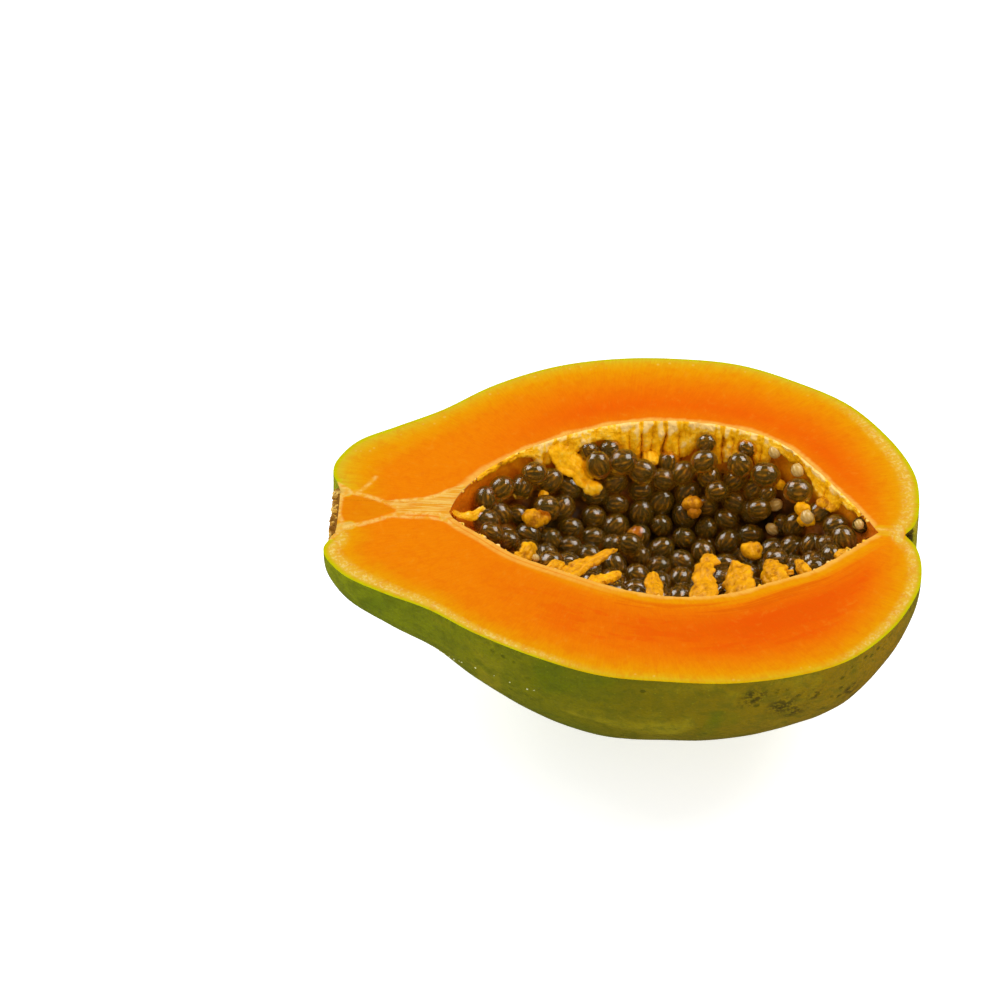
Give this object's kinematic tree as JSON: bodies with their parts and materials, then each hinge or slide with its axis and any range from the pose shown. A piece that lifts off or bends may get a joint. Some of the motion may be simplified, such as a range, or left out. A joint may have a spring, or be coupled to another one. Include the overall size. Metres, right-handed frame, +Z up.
{
  "type": "papaya half",
  "caption": "Ripe papaya cut lengthwise, resting on its rounded green back: orange flesh round a boat-shaped hollow lined with glossy dark seeds.",
  "frame": {"origin": "centre of the footprint box at the height of the surface the fruit rests on", "axes": "+X along the fruit from the stem end to the blossom end, +Z up, out of the level cut face, +Y across the cut face"},
  "size_m": [0.1496, 0.1112, 0.0562],
  "materials": {
    "flesh": "moist, soft flesh with a thin smooth green skin on the back",
    "seeds": "wet, glossy gel coat over dark ridged seeds"
  },
  "bodies": {
    "root": {"fruit_half": "flesh", "seeds": "seeds"}
  },
  "joints": []
}
